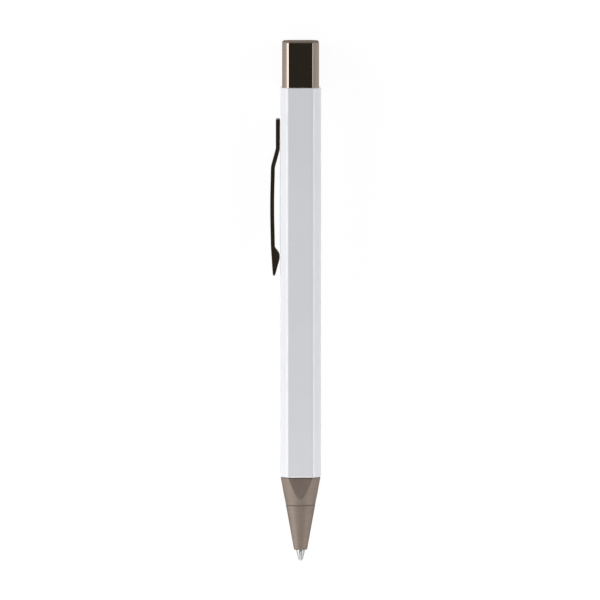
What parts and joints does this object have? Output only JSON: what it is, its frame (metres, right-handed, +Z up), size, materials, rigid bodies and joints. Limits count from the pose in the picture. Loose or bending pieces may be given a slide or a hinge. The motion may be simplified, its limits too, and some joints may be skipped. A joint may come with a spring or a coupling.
{
  "type": "retractable ballpoint pen",
  "caption": "Push-button ballpoint pen with an eight-sided white metal barrel, gunmetal button, nose and spring clip, and a spring-loaded refill that slides out to write.",
  "frame": {"origin": "centre of the flat of the barrel that the pen lies on, halfway along the barrel", "axes": "+Y along the pen from the point to the button, +Z up from the surface it lies on, clip on the -X side"},
  "size_m": [0.0137, 0.1403, 0.0111],
  "materials": {
    "white_lacquer": "gloss white lacquer on drawn aluminium",
    "gunmetal": "satin dark gunmetal plating, brushed along the pen",
    "clip_gunmetal": "satin dark gunmetal plating on spring steel",
    "nickel_silver": "bright drawn nickel silver",
    "carbide": "polished carbide ball",
    "spring_steel": "drawn spring wire",
    "guide_plastic": "moulded natural acetal",
    "cam_plastic": "moulded black acetal",
    "tube_plastic": "drawn translucent polypropylene",
    "blue_ink": "thick oil ink"
  },
  "bodies": {
    "barrel": {"barrel_tube": "white_lacquer", "nose_collar": "gunmetal", "cam_guide": "guide_plastic"},
    "push_button": {"push_button": "gunmetal", "thrust_cam": "cam_plastic"},
    "refill": {"refill_tube": "tube_plastic", "ink_column": "blue_ink", "refill_tip": "nickel_silver", "cam_rotor": "cam_plastic", "return_spring": "spring_steel"},
    "writing_ball": {"writing_ball": "carbide"},
    "clip": {"clip": "clip_gunmetal"},
    "nose_cone": {"nose_cone": "gunmetal"}
  },
  "joints": [
    {"name": "button_press", "type": "slide", "parent": "barrel", "child": "push_button", "axis": [0, -1, 0], "range_m": [-0.005, 0.0012]},
    {"name": "refill_feed", "type": "slide", "parent": "barrel", "child": "refill", "axis": [0, -1, 0], "range_m": [-0.005, 0.0012], "deforming": ["return_spring"]},
    {"name": "ball_roll", "type": "hinge", "parent": "refill", "child": "writing_ball", "pos_m": [0, -0.07487, 0.00555], "axis": [1, 0, 0], "continuous": true},
    {"name": "clip_flex", "type": "hinge", "parent": "barrel", "child": "clip", "pos_m": [-0.00557, 0.04392, 0.00555], "axis": [0, 0, -1], "range_deg": [0, 3], "stiffness_Nm_per_rad": 1},
    {"name": "nose_unscrew", "type": "slide", "parent": "barrel", "child": "nose_cone", "axis": [0, -1, 0], "range_m": [0, 0.022]}
  ],
  "couplings": [
    {"joint": "refill_feed", "follows": "button_press", "ratio": 1}
  ]
}
